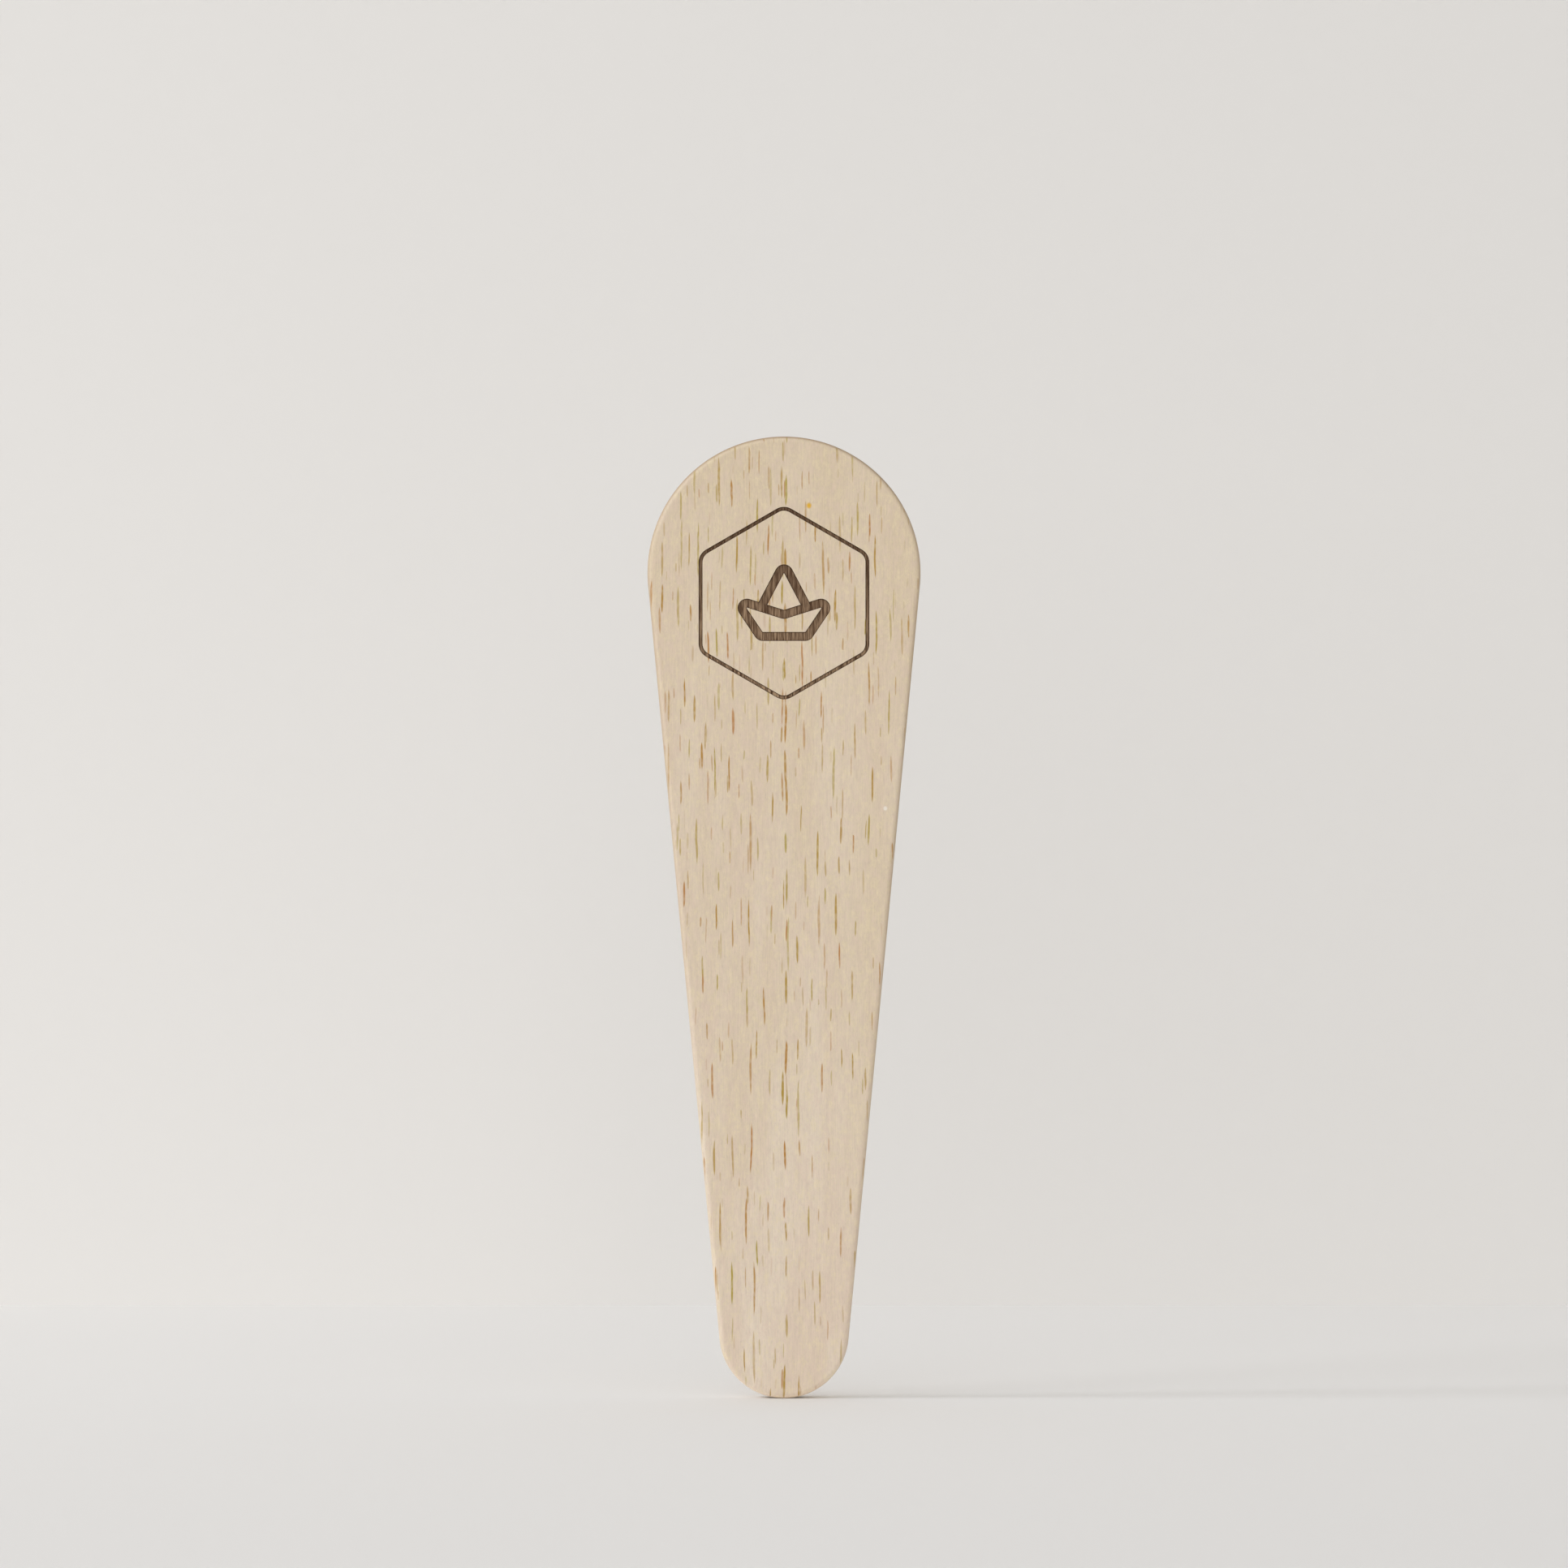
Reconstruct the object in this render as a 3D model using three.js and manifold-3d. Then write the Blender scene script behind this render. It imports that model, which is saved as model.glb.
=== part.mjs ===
// Bone folder: one flat, tapered blade of solid beech for scoring and creasing paper, with a generic
// mark engraved in its head: a bold folded-paper boat inside a thin hexagon.
//
// Millimetres, +Z up. The blade stands on its tip at the origin and its length runs up +Z. Its
// thickness lies along Y, centred on the XZ plane, and the engraved face looks along -Y.

import * as THREE from "three";
import { mergeVertices } from "three/addons/utils/BufferGeometryUtils.js";
import Module from "manifold-3d";

// Blade: a large head circle and a small tip circle, joined by their outer tangents.
const LENGTH = 150;
const HEAD_RADIUS = 21.3;
const TIP_RADIUS = 10.1;
const THICKNESS = 4;
const EDGE_ROUND = 0.8;

// Engraved mark, centred on the blade's middle line. The boat's heights are above its keel.
const MARK_HEIGHT = 124;
const ENGRAVING_DEPTH = 0.25;
const WALL_SLOPE = 0.12;
const HEXAGON_ACROSS_FLATS = 26;
const HEXAGON_LINE = 0.6;
const HEXAGON_BEND = 2;
const BOAT_LINE = 1.4;
const BOAT_BEND = 0.75;
const BOAT_DROP = 5.2;
const KEEL_WIDTH = 7.4;
const BOAT_WIDTH = 15.2;
const BOW_RISE = 5.8;
const GUNWALE_RISE = 3.4;
const SAIL_WIDTH = 7.2;
const SAIL_RISE = 11.4;

// Smoothness of the faceted shape.
const ARC_SEGMENTS = 24;
const EDGE_SEGMENTS = 5;
const BEND_SEGMENTS = 4;

const headHeight = LENGTH - HEAD_RADIUS;
const tipHeight = TIP_RADIUS;
const taper = Math.asin((HEAD_RADIUS - TIP_RADIUS) / (headHeight - tipHeight));

const wasm = await Module();
wasm.setup();

/** Turns a closed three.js geometry into a manifold solid. */
function toSolid(geometry) {
  geometry.deleteAttribute("normal");
  geometry.deleteAttribute("uv");
  const merged = mergeVertices(geometry);
  return new wasm.Manifold(new wasm.Mesh({
    numProp: 3,
    vertProperties: new Float32Array(merged.attributes.position.array),
    triVerts: new Uint32Array(merged.index.array),
  }));
}

/** Turns a manifold solid back into a flat-shaded three.js geometry. */
function toGeometry(solid) {
  const mesh = solid.getMesh();
  const indexed = new THREE.BufferGeometry();
  indexed.setAttribute("position", new THREE.BufferAttribute(mesh.vertProperties, mesh.numProp));
  indexed.setIndex(new THREE.BufferAttribute(mesh.triVerts, 1));
  const geometry = indexed.toNonIndexed();
  geometry.computeVertexNormals();
  return geometry;
}

/** The unit direction from one point to another. */
function direction(from, to) {
  return to.clone().sub(from).normalize();
}

/** Draws a closed counter-clockwise path, rounding its convex and its reflex corners. */
function drawRounded(path, corners, convexRadius, reflexRadius) {
  corners.forEach((corner, i) => {
    const toLast = direction(corner, corners.at(i - 1));
    const toNext = direction(corner, corners[(i + 1) % corners.length]);
    const radius = toNext.cross(toLast) > 0 ? convexRadius : reflexRadius;
    const reach = radius / Math.tan(Math.acos(toLast.dot(toNext)) / 2);
    const start = corner.clone().addScaledVector(toLast, reach);
    const end = corner.clone().addScaledVector(toNext, reach);
    if (i === 0) {
      path.moveTo(start.x, start.y);
    } else {
      path.lineTo(start.x, start.y);
    }
    path.quadraticCurveTo(corner.x, corner.y, end.x, end.y);
  });
  path.closePath();
  return path;
}

/** Moves the points of a closed line to its right by a distance, with mitred corners. */
function offsetClosed(points, distance) {
  return points.map((point, i) => {
    const arriving = direction(points.at(i - 1), point);
    const leaving = direction(point, points[(i + 1) % points.length]);
    const mitre = arriving.clone().add(leaving).normalize();
    const stretched = distance / mitre.dot(arriving);
    return new THREE.Vector2(point.x + mitre.y * stretched, point.y - mitre.x * stretched);
  });
}

/** A line of constant width around a closed counter-clockwise polygon whose corners are bent. */
function closedLine(points, width, bend) {
  const outside = bend + width / 2;
  const inside = bend - width / 2;
  const shape = drawRounded(new THREE.Shape(), offsetClosed(points, width / 2), outside, inside);
  shape.holes.push(drawRounded(new THREE.Path(), offsetClosed(points, -width / 2), inside, outside));
  return shape;
}

/** The mark's thin hexagon, standing on a point. */
function hexagonShape() {
  const reach = HEXAGON_ACROSS_FLATS / 2 / Math.cos(Math.PI / 6);
  const corners = Array.from({ length: 6 }, (_, i) => {
    const angle = ((2 * i + 1) * Math.PI) / 6;
    return new THREE.Vector2(reach * Math.cos(angle), MARK_HEIGHT + reach * Math.sin(angle));
  });
  return closedLine(corners, HEXAGON_LINE, HEXAGON_BEND);
}

/** A point of the boat: across from the middle line, and up from the keel. */
function boatPoint(across, rise) {
  return new THREE.Vector2(across, MARK_HEIGHT - BOAT_DROP + rise);
}

/** The boat's hull: keel, two raised ends and the gunwale that dips between them. */
function hullShape() {
  const corners = [
    boatPoint(-KEEL_WIDTH / 2, 0),
    boatPoint(KEEL_WIDTH / 2, 0),
    boatPoint(BOAT_WIDTH / 2, BOW_RISE),
    boatPoint(0, GUNWALE_RISE),
    boatPoint(-BOAT_WIDTH / 2, BOW_RISE),
  ];
  return closedLine(corners, BOAT_LINE, BOAT_BEND);
}

/** The boat's sail: a triangle whose lower side runs along the gunwale. */
function sailShape() {
  const foot = SAIL_WIDTH / 2;
  const footRise = GUNWALE_RISE + ((BOW_RISE - GUNWALE_RISE) * SAIL_WIDTH) / BOAT_WIDTH;
  const corners = [
    boatPoint(0, GUNWALE_RISE),
    boatPoint(foot, footRise),
    boatPoint(0, SAIL_RISE),
    boatPoint(-foot, footRise),
  ];
  return closedLine(corners, BOAT_LINE, BOAT_BEND);
}

/** The solid that engraving a shape removes: full width at the face, narrower at its floor. */
function engraving(shape) {
  const geometry = new THREE.ExtrudeGeometry(shape, {
    depth: EDGE_ROUND,
    curveSegments: BEND_SEGMENTS,
    bevelThickness: ENGRAVING_DEPTH,
    bevelSize: WALL_SLOPE,
    bevelOffset: -WALL_SLOPE,
    bevelSegments: 1,
  });
  geometry.translate(0, 0, THICKNESS / 2);
  return toSolid(geometry);
}

/** The plain blade, with its outline in XY, its thickness centred on Z and every edge rounded. */
function blank() {
  const outline = new THREE.Shape();
  outline.absarc(0, headHeight, HEAD_RADIUS, -taper, Math.PI + taper);
  outline.absarc(0, tipHeight, TIP_RADIUS, Math.PI + taper, 2 * Math.PI - taper);
  outline.closePath();
  const depth = THICKNESS - 2 * EDGE_ROUND;
  const geometry = new THREE.ExtrudeGeometry(outline, {
    depth,
    curveSegments: ARC_SEGMENTS,
    bevelThickness: EDGE_ROUND,
    bevelSize: EDGE_ROUND,
    bevelOffset: -EDGE_ROUND,
    bevelSegments: EDGE_SEGMENTS,
  });
  geometry.translate(0, 0, -depth / 2);
  return toSolid(geometry);
}

/** The finished blade. */
function beechBlade() {
  const mark = [hexagonShape(), hullShape(), sailShape()].map(engraving);
  const solid = mark.reduce((blade, cutter) => blade.subtract(cutter), blank());
  const beech = new THREE.MeshStandardMaterial({ color: 0xd5c4ac, roughness: 0.62, metalness: 0 });
  const mesh = new THREE.Mesh(toGeometry(solid), beech);
  mesh.name = "beech_blade";
  return mesh;
}

// The blade is drawn in XY, then turned so that its length runs up +Z.
const boneFolder = new THREE.Group();
boneFolder.rotation.x = Math.PI / 2;
boneFolder.add(beechBlade());

export default boneFolder;
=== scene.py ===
"""Bone folder: a flat beech blade for scoring and creasing paper, with a mark burnt into its head.

The blade stands on its tip at the origin, in metres, with +Z up its length and its engraved face
looking along -Y. Its form comes from Geometry Nodes, its finish from solid wood patterns that run
right through the blade, so that the faces, the long edges and the end grain belong together.
"""

import logging
import math
from dataclasses import dataclass, field
from enum import Enum

import bpy
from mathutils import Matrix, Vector


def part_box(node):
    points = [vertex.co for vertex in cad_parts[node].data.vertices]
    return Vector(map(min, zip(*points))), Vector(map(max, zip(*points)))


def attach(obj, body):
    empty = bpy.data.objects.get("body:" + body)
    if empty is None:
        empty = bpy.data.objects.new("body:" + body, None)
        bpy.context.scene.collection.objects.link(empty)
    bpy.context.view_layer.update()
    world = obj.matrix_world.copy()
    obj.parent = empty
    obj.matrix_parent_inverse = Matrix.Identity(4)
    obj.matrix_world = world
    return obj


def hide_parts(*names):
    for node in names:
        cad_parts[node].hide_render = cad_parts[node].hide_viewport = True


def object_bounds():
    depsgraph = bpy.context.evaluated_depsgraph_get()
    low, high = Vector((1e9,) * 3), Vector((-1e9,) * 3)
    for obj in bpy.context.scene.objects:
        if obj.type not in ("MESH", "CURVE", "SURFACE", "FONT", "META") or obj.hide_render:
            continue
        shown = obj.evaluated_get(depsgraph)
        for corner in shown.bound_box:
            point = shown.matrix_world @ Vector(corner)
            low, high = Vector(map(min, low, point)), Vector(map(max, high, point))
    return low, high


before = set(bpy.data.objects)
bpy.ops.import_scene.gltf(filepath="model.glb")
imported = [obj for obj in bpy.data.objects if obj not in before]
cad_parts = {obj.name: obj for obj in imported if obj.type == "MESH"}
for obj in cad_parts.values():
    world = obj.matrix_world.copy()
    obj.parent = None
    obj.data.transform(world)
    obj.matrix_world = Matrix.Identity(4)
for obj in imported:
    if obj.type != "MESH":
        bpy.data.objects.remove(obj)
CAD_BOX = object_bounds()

LOG = logging.getLogger("bone_folder")
MM = 0.001
BODY = "root"
NODE = "beech_blade"
Colour = tuple[float, float, float, float]


# ---------------------------------------------------------------------------------------------
# Node trees
# ---------------------------------------------------------------------------------------------


@dataclass(frozen=True)
class Term:
    """A value on its way through a node tree, with plain arithmetic on it.

    Attributes:
        bench: The tree that the value belongs to.
        socket: The output socket that gives the value.
    """

    bench: "Bench"
    socket: bpy.types.NodeSocket

    def __add__(self, other: "Term | float") -> "Term":
        """Returns the sum."""
        return self.bench.math("ADD", self, other)

    def __radd__(self, other: float) -> "Term":
        """Returns the sum, with the number first."""
        return self.bench.math("ADD", other, self)

    def __sub__(self, other: "Term | float") -> "Term":
        """Returns the difference."""
        return self.bench.math("SUBTRACT", self, other)

    def __rsub__(self, other: float) -> "Term":
        """Returns the difference, with the number first."""
        return self.bench.math("SUBTRACT", other, self)

    def __mul__(self, other: "Term | float") -> "Term":
        """Returns the product."""
        return self.bench.math("MULTIPLY", self, other)

    def __truediv__(self, other: "Term | float") -> "Term":
        """Returns the quotient."""
        return self.bench.math("DIVIDE", self, other)

    def __abs__(self) -> "Term":
        """Returns the size without the sign."""
        return self.bench.math("ABSOLUTE", self)

    def floor(self) -> "Term":
        """Returns the whole number below."""
        return self.bench.math("FLOOR", self)

    def sine(self) -> "Term":
        """Returns the sine of an angle in radians."""
        return self.bench.math("SINE", self)

    def cosine(self) -> "Term":
        """Returns the cosine of an angle in radians."""
        return self.bench.math("COSINE", self)

    def above(self, limit: "Term | float") -> "Term":
        """Returns 1 where the value is over the limit, else 0."""
        return self.bench.math("GREATER_THAN", self, limit)

    def below(self, limit: "Term | float") -> "Term":
        """Returns 1 where the value is under the limit, else 0."""
        return self.bench.math("LESS_THAN", self, limit)

    def larger(self, other: "Term | float") -> "Term":
        """Returns the larger of two values."""
        return self.bench.math("MAXIMUM", self, other)

    def clamped(self) -> "Term":
        """Returns the value held between 0 and 1."""
        return self.bench.math("ADD", self, 0.0, clamp=True)

    def eased(self, low: float, high: float) -> "Term":
        """Fades from 0 at low to 1 at high, with soft ends.

        Args:
            low: The value that gives 0.
            high: The value that gives 1.

        Returns:
            The faded value, held between 0 and 1.
        """
        inputs = {"Value": self, "From Min": low, "From Max": high}
        node = self.bench.add("ShaderNodeMapRange", inputs, interpolation_type="SMOOTHSTEP")
        return self.bench.out(node, "Result")

    def between(self, low: "Term | float", high: "Term | float") -> "Term":
        """Returns the value that lies this share of the way from low to high."""
        return low + self * (high - low)


class Bench:
    """Adds nodes to one tree and links them."""

    def __init__(self, tree: bpy.types.NodeTree) -> None:
        """Starts on an empty or a started tree.

        Args:
            tree: The tree to add to.
        """
        self.tree = tree

    def add(self, kind: str, inputs: dict | None = None, **settings: object) -> bpy.types.Node:
        """Adds a node.

        Args:
            kind: The node's type name.
            inputs: What goes into each input, by name or number: a Term or a plain value.
            **settings: The node's own settings.

        Returns:
            The new node.
        """
        node = self.tree.nodes.new(kind)
        for name, value in settings.items():
            setattr(node, name, value)
        for key, value in (inputs or {}).items():
            self.feed(node.inputs[key], value)
        return node

    def feed(self, socket: bpy.types.NodeSocket, value: object) -> None:
        """Links a Term to an input, or sets a plain value on it.

        Args:
            socket: The input.
            value: The Term or the plain value.
        """
        if isinstance(value, Term):
            self.tree.links.new(value.socket, socket)
        else:
            socket.default_value = value

    def out(self, node: bpy.types.Node, key: str | int = 0) -> Term:
        """Returns one output of a node as a Term."""
        return Term(self, node.outputs[key])

    def math(self, operation: str, *values: "Term | float", clamp: bool = False) -> Term:
        """Adds a Math node.

        Args:
            operation: The node's operation.
            *values: Its one to three inputs, in order.
            clamp: Whether the result is held between 0 and 1.

        Returns:
            The result.
        """
        node = self.add("ShaderNodeMath", dict(enumerate(values)), operation=operation, use_clamp=clamp)
        return self.out(node)

    def vector(self, x: "Term | float", y: "Term | float", z: "Term | float") -> Term:
        """Returns a vector made of three values."""
        return self.out(self.add("ShaderNodeCombineXYZ", {"X": x, "Y": y, "Z": z}))

    def parts(self, vector: Term) -> tuple[Term, Term, Term]:
        """Returns a vector's three values."""
        node = self.add("ShaderNodeSeparateXYZ", {"Vector": vector})
        return self.out(node, "X"), self.out(node, "Y"), self.out(node, "Z")

    def chances(self, x: Term, y: Term, seed: float) -> tuple[Term, Term, Term]:
        """Returns three random shares that belong to a pair of whole numbers.

        Args:
            x: The first whole number.
            y: The second whole number.
            seed: Tells one set of draws from another.

        Returns:
            Three values from 0 to 1.
        """
        node = self.add("ShaderNodeTexWhiteNoise", {"Vector": self.vector(x, y, seed)})
        return self.parts(self.out(node, "Color"))

    def blend(self, share: Term, first: Term | Colour, second: Term | Colour) -> Term:
        """Mixes two colours.

        Args:
            share: How much of the second colour there is, from 0 to 1.
            first: The first colour, as a Term or as four numbers.
            second: The second colour, likewise.

        Returns:
            The mixed colour.
        """
        node = self.add("ShaderNodeMix", data_type="RGBA")
        self.feed(node.inputs[0], share)
        self.feed(node.inputs[6], first)
        self.feed(node.inputs[7], second)
        return self.out(node, 2)

    def shade(self, colour: Term, amount: Term) -> Term:
        """Returns a colour made brighter or darker by a factor."""
        node = self.add("ShaderNodeVectorMath", {0: colour, "Scale": amount}, operation="SCALE")
        return self.out(node, "Vector")


class FormTree:
    """A Geometry Nodes tree with named inputs, which is run once to make a plain mesh."""

    def __init__(self, name: str) -> None:
        """Starts an empty tree.

        Args:
            name: The tree's name.
        """
        self.tree = bpy.data.node_groups.new(name, "GeometryNodeTree")
        self.tree.interface.new_socket("Mesh", in_out="OUTPUT", socket_type="NodeSocketGeometry")
        self.bench = Bench(self.tree)
        self.entry = self.tree.nodes.new("NodeGroupInput")
        self.identifiers: dict[str, str] = {}

    def input(self, name: str, kind: str = "Float") -> Term:
        """Adds a named input.

        Args:
            name: The input's name.
            kind: Float, Int, Object or Material.

        Returns:
            The value that the input brings.
        """
        made = self.tree.interface.new_socket(name, in_out="INPUT", socket_type="NodeSocket" + kind)
        self.identifiers[name] = made.identifier
        return Term(self.bench, self.entry.outputs[name])

    def end(self, geometry: Term, material: Term, faces: Term | bool = True) -> None:
        """Ends the tree with Realize Instances and Set Material.

        Args:
            geometry: The finished form.
            material: The material that it gets.
            faces: The faces that the material covers.
        """
        bench = self.bench
        solid = bench.out(bench.add("GeometryNodeRealizeInstances", {"Geometry": geometry}))
        inputs = {"Geometry": solid, "Selection": faces, "Material": material}
        finished = bench.out(bench.add("GeometryNodeSetMaterial", inputs))
        bench.feed(self.tree.nodes.new("NodeGroupOutput").inputs[0], finished)

    def run(self, name: str, values: dict[str, object]) -> bpy.types.Object:
        """Runs the tree and keeps its result as a plain mesh.

        Args:
            name: The new piece's name.
            values: What each named input holds.

        Returns:
            The piece, at the origin, with no modifier left on it.
        """
        piece = bpy.data.objects.new(name, bpy.data.meshes.new(name))
        bpy.context.scene.collection.objects.link(piece)
        modifier = piece.modifiers.new("form", "NODES")
        modifier.node_group = self.tree
        for key, value in values.items():
            modifier[self.identifiers[key]] = value
        graph = bpy.context.evaluated_depsgraph_get()
        mesh = bpy.data.meshes.new_from_object(piece.evaluated_get(graph), depsgraph=graph)
        piece.modifiers.remove(modifier)
        piece.data = mesh
        mesh.name = name
        if mesh.materials[0] is None:
            # Set Material leaves an empty slot before its own.
            mesh.materials.pop(index=0)
        return piece


# ---------------------------------------------------------------------------------------------
# Finishes
# ---------------------------------------------------------------------------------------------


def paint(red: int, green: int, blue: int) -> Colour:
    """Turns a colour as a paint chart gives it, from 0 to 255, into linear light.

    Args:
        red: The red share.
        green: The green share.
        blue: The blue share.

    Returns:
        Linear red, green and blue, with full cover.
    """
    shares = [level / 255 for level in (red, green, blue)]
    linear = [s / 12.92 if s <= 0.04045 else ((s + 0.055) / 1.055) ** 2.4 for s in shares]
    return (*linear, 1.0)


@dataclass(frozen=True)
class Grain:
    """One smooth random pattern in the wood.

    Attributes:
        fineness: How many of its grains fill a millimetre across, through and along the blade.
        detail: How many finer layers it has.
        roughness: How strong its finer layers are.
        start: Where in the endless pattern the blade's origin lies, in grains.
    """

    fineness: tuple[float, float, float]
    detail: float = 2.0
    roughness: float = 0.5
    start: tuple[float, float, float] = (0.0, 0.0, 0.0)

    def draw(self, bench: Bench, place: Term) -> Term:
        """Draws the pattern.

        Args:
            bench: The tree to draw in.
            place: The place in the wood, in millimetres.

        Returns:
            A value from 0 to 1, mostly near 0.5.
        """
        inputs = {"Vector": place, "Location": self.start, "Scale": self.fineness}
        moved = bench.out(bench.add("ShaderNodeMapping", inputs))
        inputs = {"Vector": moved, "Scale": 1.0, "Detail": self.detail, "Roughness": self.roughness}
        return bench.out(bench.add("ShaderNodeTexNoise", inputs), "Fac")


@dataclass(frozen=True)
class RayFlecks:
    """One size of the spindle-shaped flecks that wood rays leave on a flat-sawn face.

    The wood is shared out into columns across the grain and rows along it, and a place may hold one
    fleck, which never crosses its place's borders. All sizes are in millimetres.

    Attributes:
        pitch: The width of a column.
        row: The length of a row.
        wander: How far a fleck may lie from its column's middle.
        length: The shortest and the longest fleck.
        breadth: The narrowest and the widest fleck.
        share: The share of places that hold a fleck.
        strength: How strongly the faintest and the strongest fleck colour the wood.
        seed: Tells this size's draws from another's.
    """

    pitch: float
    row: float
    wander: float
    length: tuple[float, float]
    breadth: tuple[float, float]
    share: float
    strength: tuple[float, float]
    seed: float

    def draw(self, bench: Bench, across: Term, along: Term, crowding: Term) -> tuple[Term, Term]:
        """Draws the flecks.

        Args:
            bench: The tree to draw in.
            across: The place across the grain, in millimetres.
            along: The place along the grain, in millimetres.
            crowding: How crowded the wood is there, about 1.

        Returns:
            How strong the fleck is there, and a random share for its hue.
        """
        column = (across / self.pitch + 0.5).floor()
        shift = bench.chances(column, column, self.seed)[0]
        rows = along / self.row + shift
        row = rows.floor()
        long_share, broad_share, side_share = bench.chances(column, row, self.seed + 1)
        held, strong_share, hue = bench.chances(column, row, self.seed + 2)
        place_share = bench.chances(column, row, self.seed + 3)[0]
        length = (long_share * long_share).between(*self.length)
        breadth = broad_share.between(*self.breadth)
        middle = column * self.pitch + (side_share - 0.5) * (2 * self.wander)
        place = (place_share - 0.5) * (self.row - length)
        end = abs((rows - row - 0.5) * self.row - place) * 2 / length
        side = abs(across - middle) * 2 / breadth
        end_squared = end * end
        spindle = (1 - end_squared * end_squared).clamped()
        body = (spindle - side).eased(0.0, 0.55)
        present = held.below(crowding * self.share)
        return body * present * strong_share.between(*self.strength), hue


@dataclass(frozen=True)
class Speck:
    """A tiny natural blemish in the front face. Its sizes are in millimetres.

    Attributes:
        across: How far it lies to the right of the blade's middle.
        along: How far it lies above the tip.
        breadth: Its width.
        length: Its height.
        colour: Its colour.
    """

    across: float
    along: float
    breadth: float
    length: float
    colour: Colour

    def cover(self, bench: Bench, x: Term, y: Term, z: Term) -> Term:
        """Returns how much of the wood the speck hides at a place, from 0 to 1.

        Args:
            bench: The tree to draw in.
            x: The place across the blade, in millimetres.
            y: The place through the blade, in millimetres.
            z: The place along the blade, in millimetres.

        Returns:
            The share.
        """
        side = (x - self.across) * (2 / self.breadth)
        rise = (z - self.along) * (2 / self.length)
        return (side * side + rise * rise).eased(1.0, 0.0) * y.below(0.0)


@dataclass(frozen=True)
class BeechFinish:
    """Pale, flat-sawn beech, finely sanded and left bare.

    Attributes:
        name: The material's name.
        pale: The lightest wood.
        warm: The pinker wood of the broad bands.
        honey: The yellower wood of the patches, and the tone of the painted shade toward the head.
        straw: The yellower of the small mottles.
        rose: The redder of the small mottles.
        rust: The redder colour of the flecks.
        olive: The greener colour of the flecks.
        painted_shade_tone: The tone that painted shade darkens the rounded edges to.
        flecks: Each size of fleck.
        specks: The blemishes.
        sway: The slow sway of the grain.
        sway_reach: How far the grain sways, in millimetres.
        ray_lean: How far the rays lean across for each millimetre through the blade.
        fibre: The fine lines along the grain.
        fibre_tone: How much the fine lines change the tone.
        speckle: The short, coarser marks between them.
        speckle_tone: How much those marks change the tone.
        pore: The tiny pores.
        pore_tone: How much a pore darkens the wood.
        crowding: Where the flecks crowd.
        crowding_range: How crowded they are where they are fewest and where they are most.
        breaks: Where a fleck is faint along its length.
        bands: The broad pink bands.
        patches: The broad yellow patches.
        mottle: The small mottles.
        mottle_tone: How strong the mottles are.
        roughness: How rough the sanded wood is.
        fleck_gloss: How much smoother a fleck is.
        fibre_roughness: How much the fine lines change the roughness.
        relief: How far, in metres, the fine lines and the pores stand out of the surface.
        top_height: The height, in millimetres, where the head's painted shade is fullest; the edge shade and
            the crowding of flecks in the head are measured by it too.
        edge_painted_shade: How much painted shade darkens the edges round the head.
        crown_painted_shade: How much more painted shade darkens the end grain at the very top.
        edge_fleck: How strong the flecks are on the long edges and the ends, where rays lie side on.
        tip_painted_light: How much painted light brightens the underside of the tip, where the floor's
            contact shade falls.
        crowding_lean: How much more the flecks crowd for each millimetre to the left.
        head_crowding: How much more the flecks crowd in the head.
    """

    name: str = "sanded_beech"
    pale: Colour = paint(228, 213, 194)
    warm: Colour = paint(221, 202, 182)
    honey: Colour = paint(214, 195, 166)
    straw: Colour = paint(228, 212, 176)
    rose: Colour = paint(220, 198, 180)
    rust: Colour = paint(178, 117, 44)
    olive: Colour = paint(172, 152, 58)
    painted_shade_tone: Colour = paint(150, 122, 92)
    flecks: tuple[RayFlecks, ...] = (
        RayFlecks(2.7, 11.5, 0.7, (4.5, 10.0), (0.30, 0.50), 0.515, (0.52, 1.06), 11.0),
        RayFlecks(2.1, 7.6, 0.6, (2.8, 6.0), (0.24, 0.42), 0.44, (0.35, 1.04), 23.0),
        RayFlecks(1.7, 5.0, 0.6, (1.6, 3.8), (0.20, 0.34), 0.30, (0.15, 0.70), 37.0),
        RayFlecks(60.0, 8.6, 0.25, (3.6, 7.2), (0.36, 0.52), 0.85, (0.77, 1.06), 51.0),
    )
    specks: tuple[Speck, ...] = (
        Speck(3.9, 139.2, 1.0, 1.2, paint(222, 172, 44)),
        Speck(15.8, 92.0, 0.8, 0.9, paint(236, 227, 214)),
    )
    sway: Grain = Grain((0.25, 0.2, 0.12), detail=3.0)
    sway_reach: float = 0.7
    ray_lean: float = 0.12
    fibre: Grain = Grain((6.0, 6.0, 0.22), detail=3.0)
    fibre_tone: float = 0.24
    speckle: Grain = Grain((2.2, 2.2, 0.8), detail=3.0, roughness=0.7, start=(0.0, 0.0, 5.0))
    speckle_tone: float = 0.20
    pore: Grain = Grain((11.0, 11.0, 1.3), detail=1.0)
    pore_tone: float = 0.08
    crowding: Grain = Grain((0.11, 0.1, 0.035))
    crowding_range: tuple[float, float] = (0.72, 1.42)
    breaks: Grain = Grain((1.5, 0.5, 0.9), detail=1.0)
    bands: Grain = Grain((0.26, 0.3, 0.03), detail=3.0)
    patches: Grain = Grain((0.10, 0.1, 0.022), start=(7.0, 0.0, 0.0))
    mottle: Grain = Grain((0.9, 0.9, 0.55), detail=5.0, roughness=0.85, start=(0.0, 0.0, 9.0))
    mottle_tone: float = 0.45
    roughness: float = 0.60
    fleck_gloss: float = 0.10
    fibre_roughness: float = 0.16
    relief: float = 0.02 * MM
    top_height: float = 150.0
    edge_painted_shade: float = 0.42
    crown_painted_shade: float = 0.35
    edge_fleck: float = 0.10
    tip_painted_light: float = 0.28
    crowding_lean: float = 0.018
    head_crowding: float = 0.45

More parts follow.
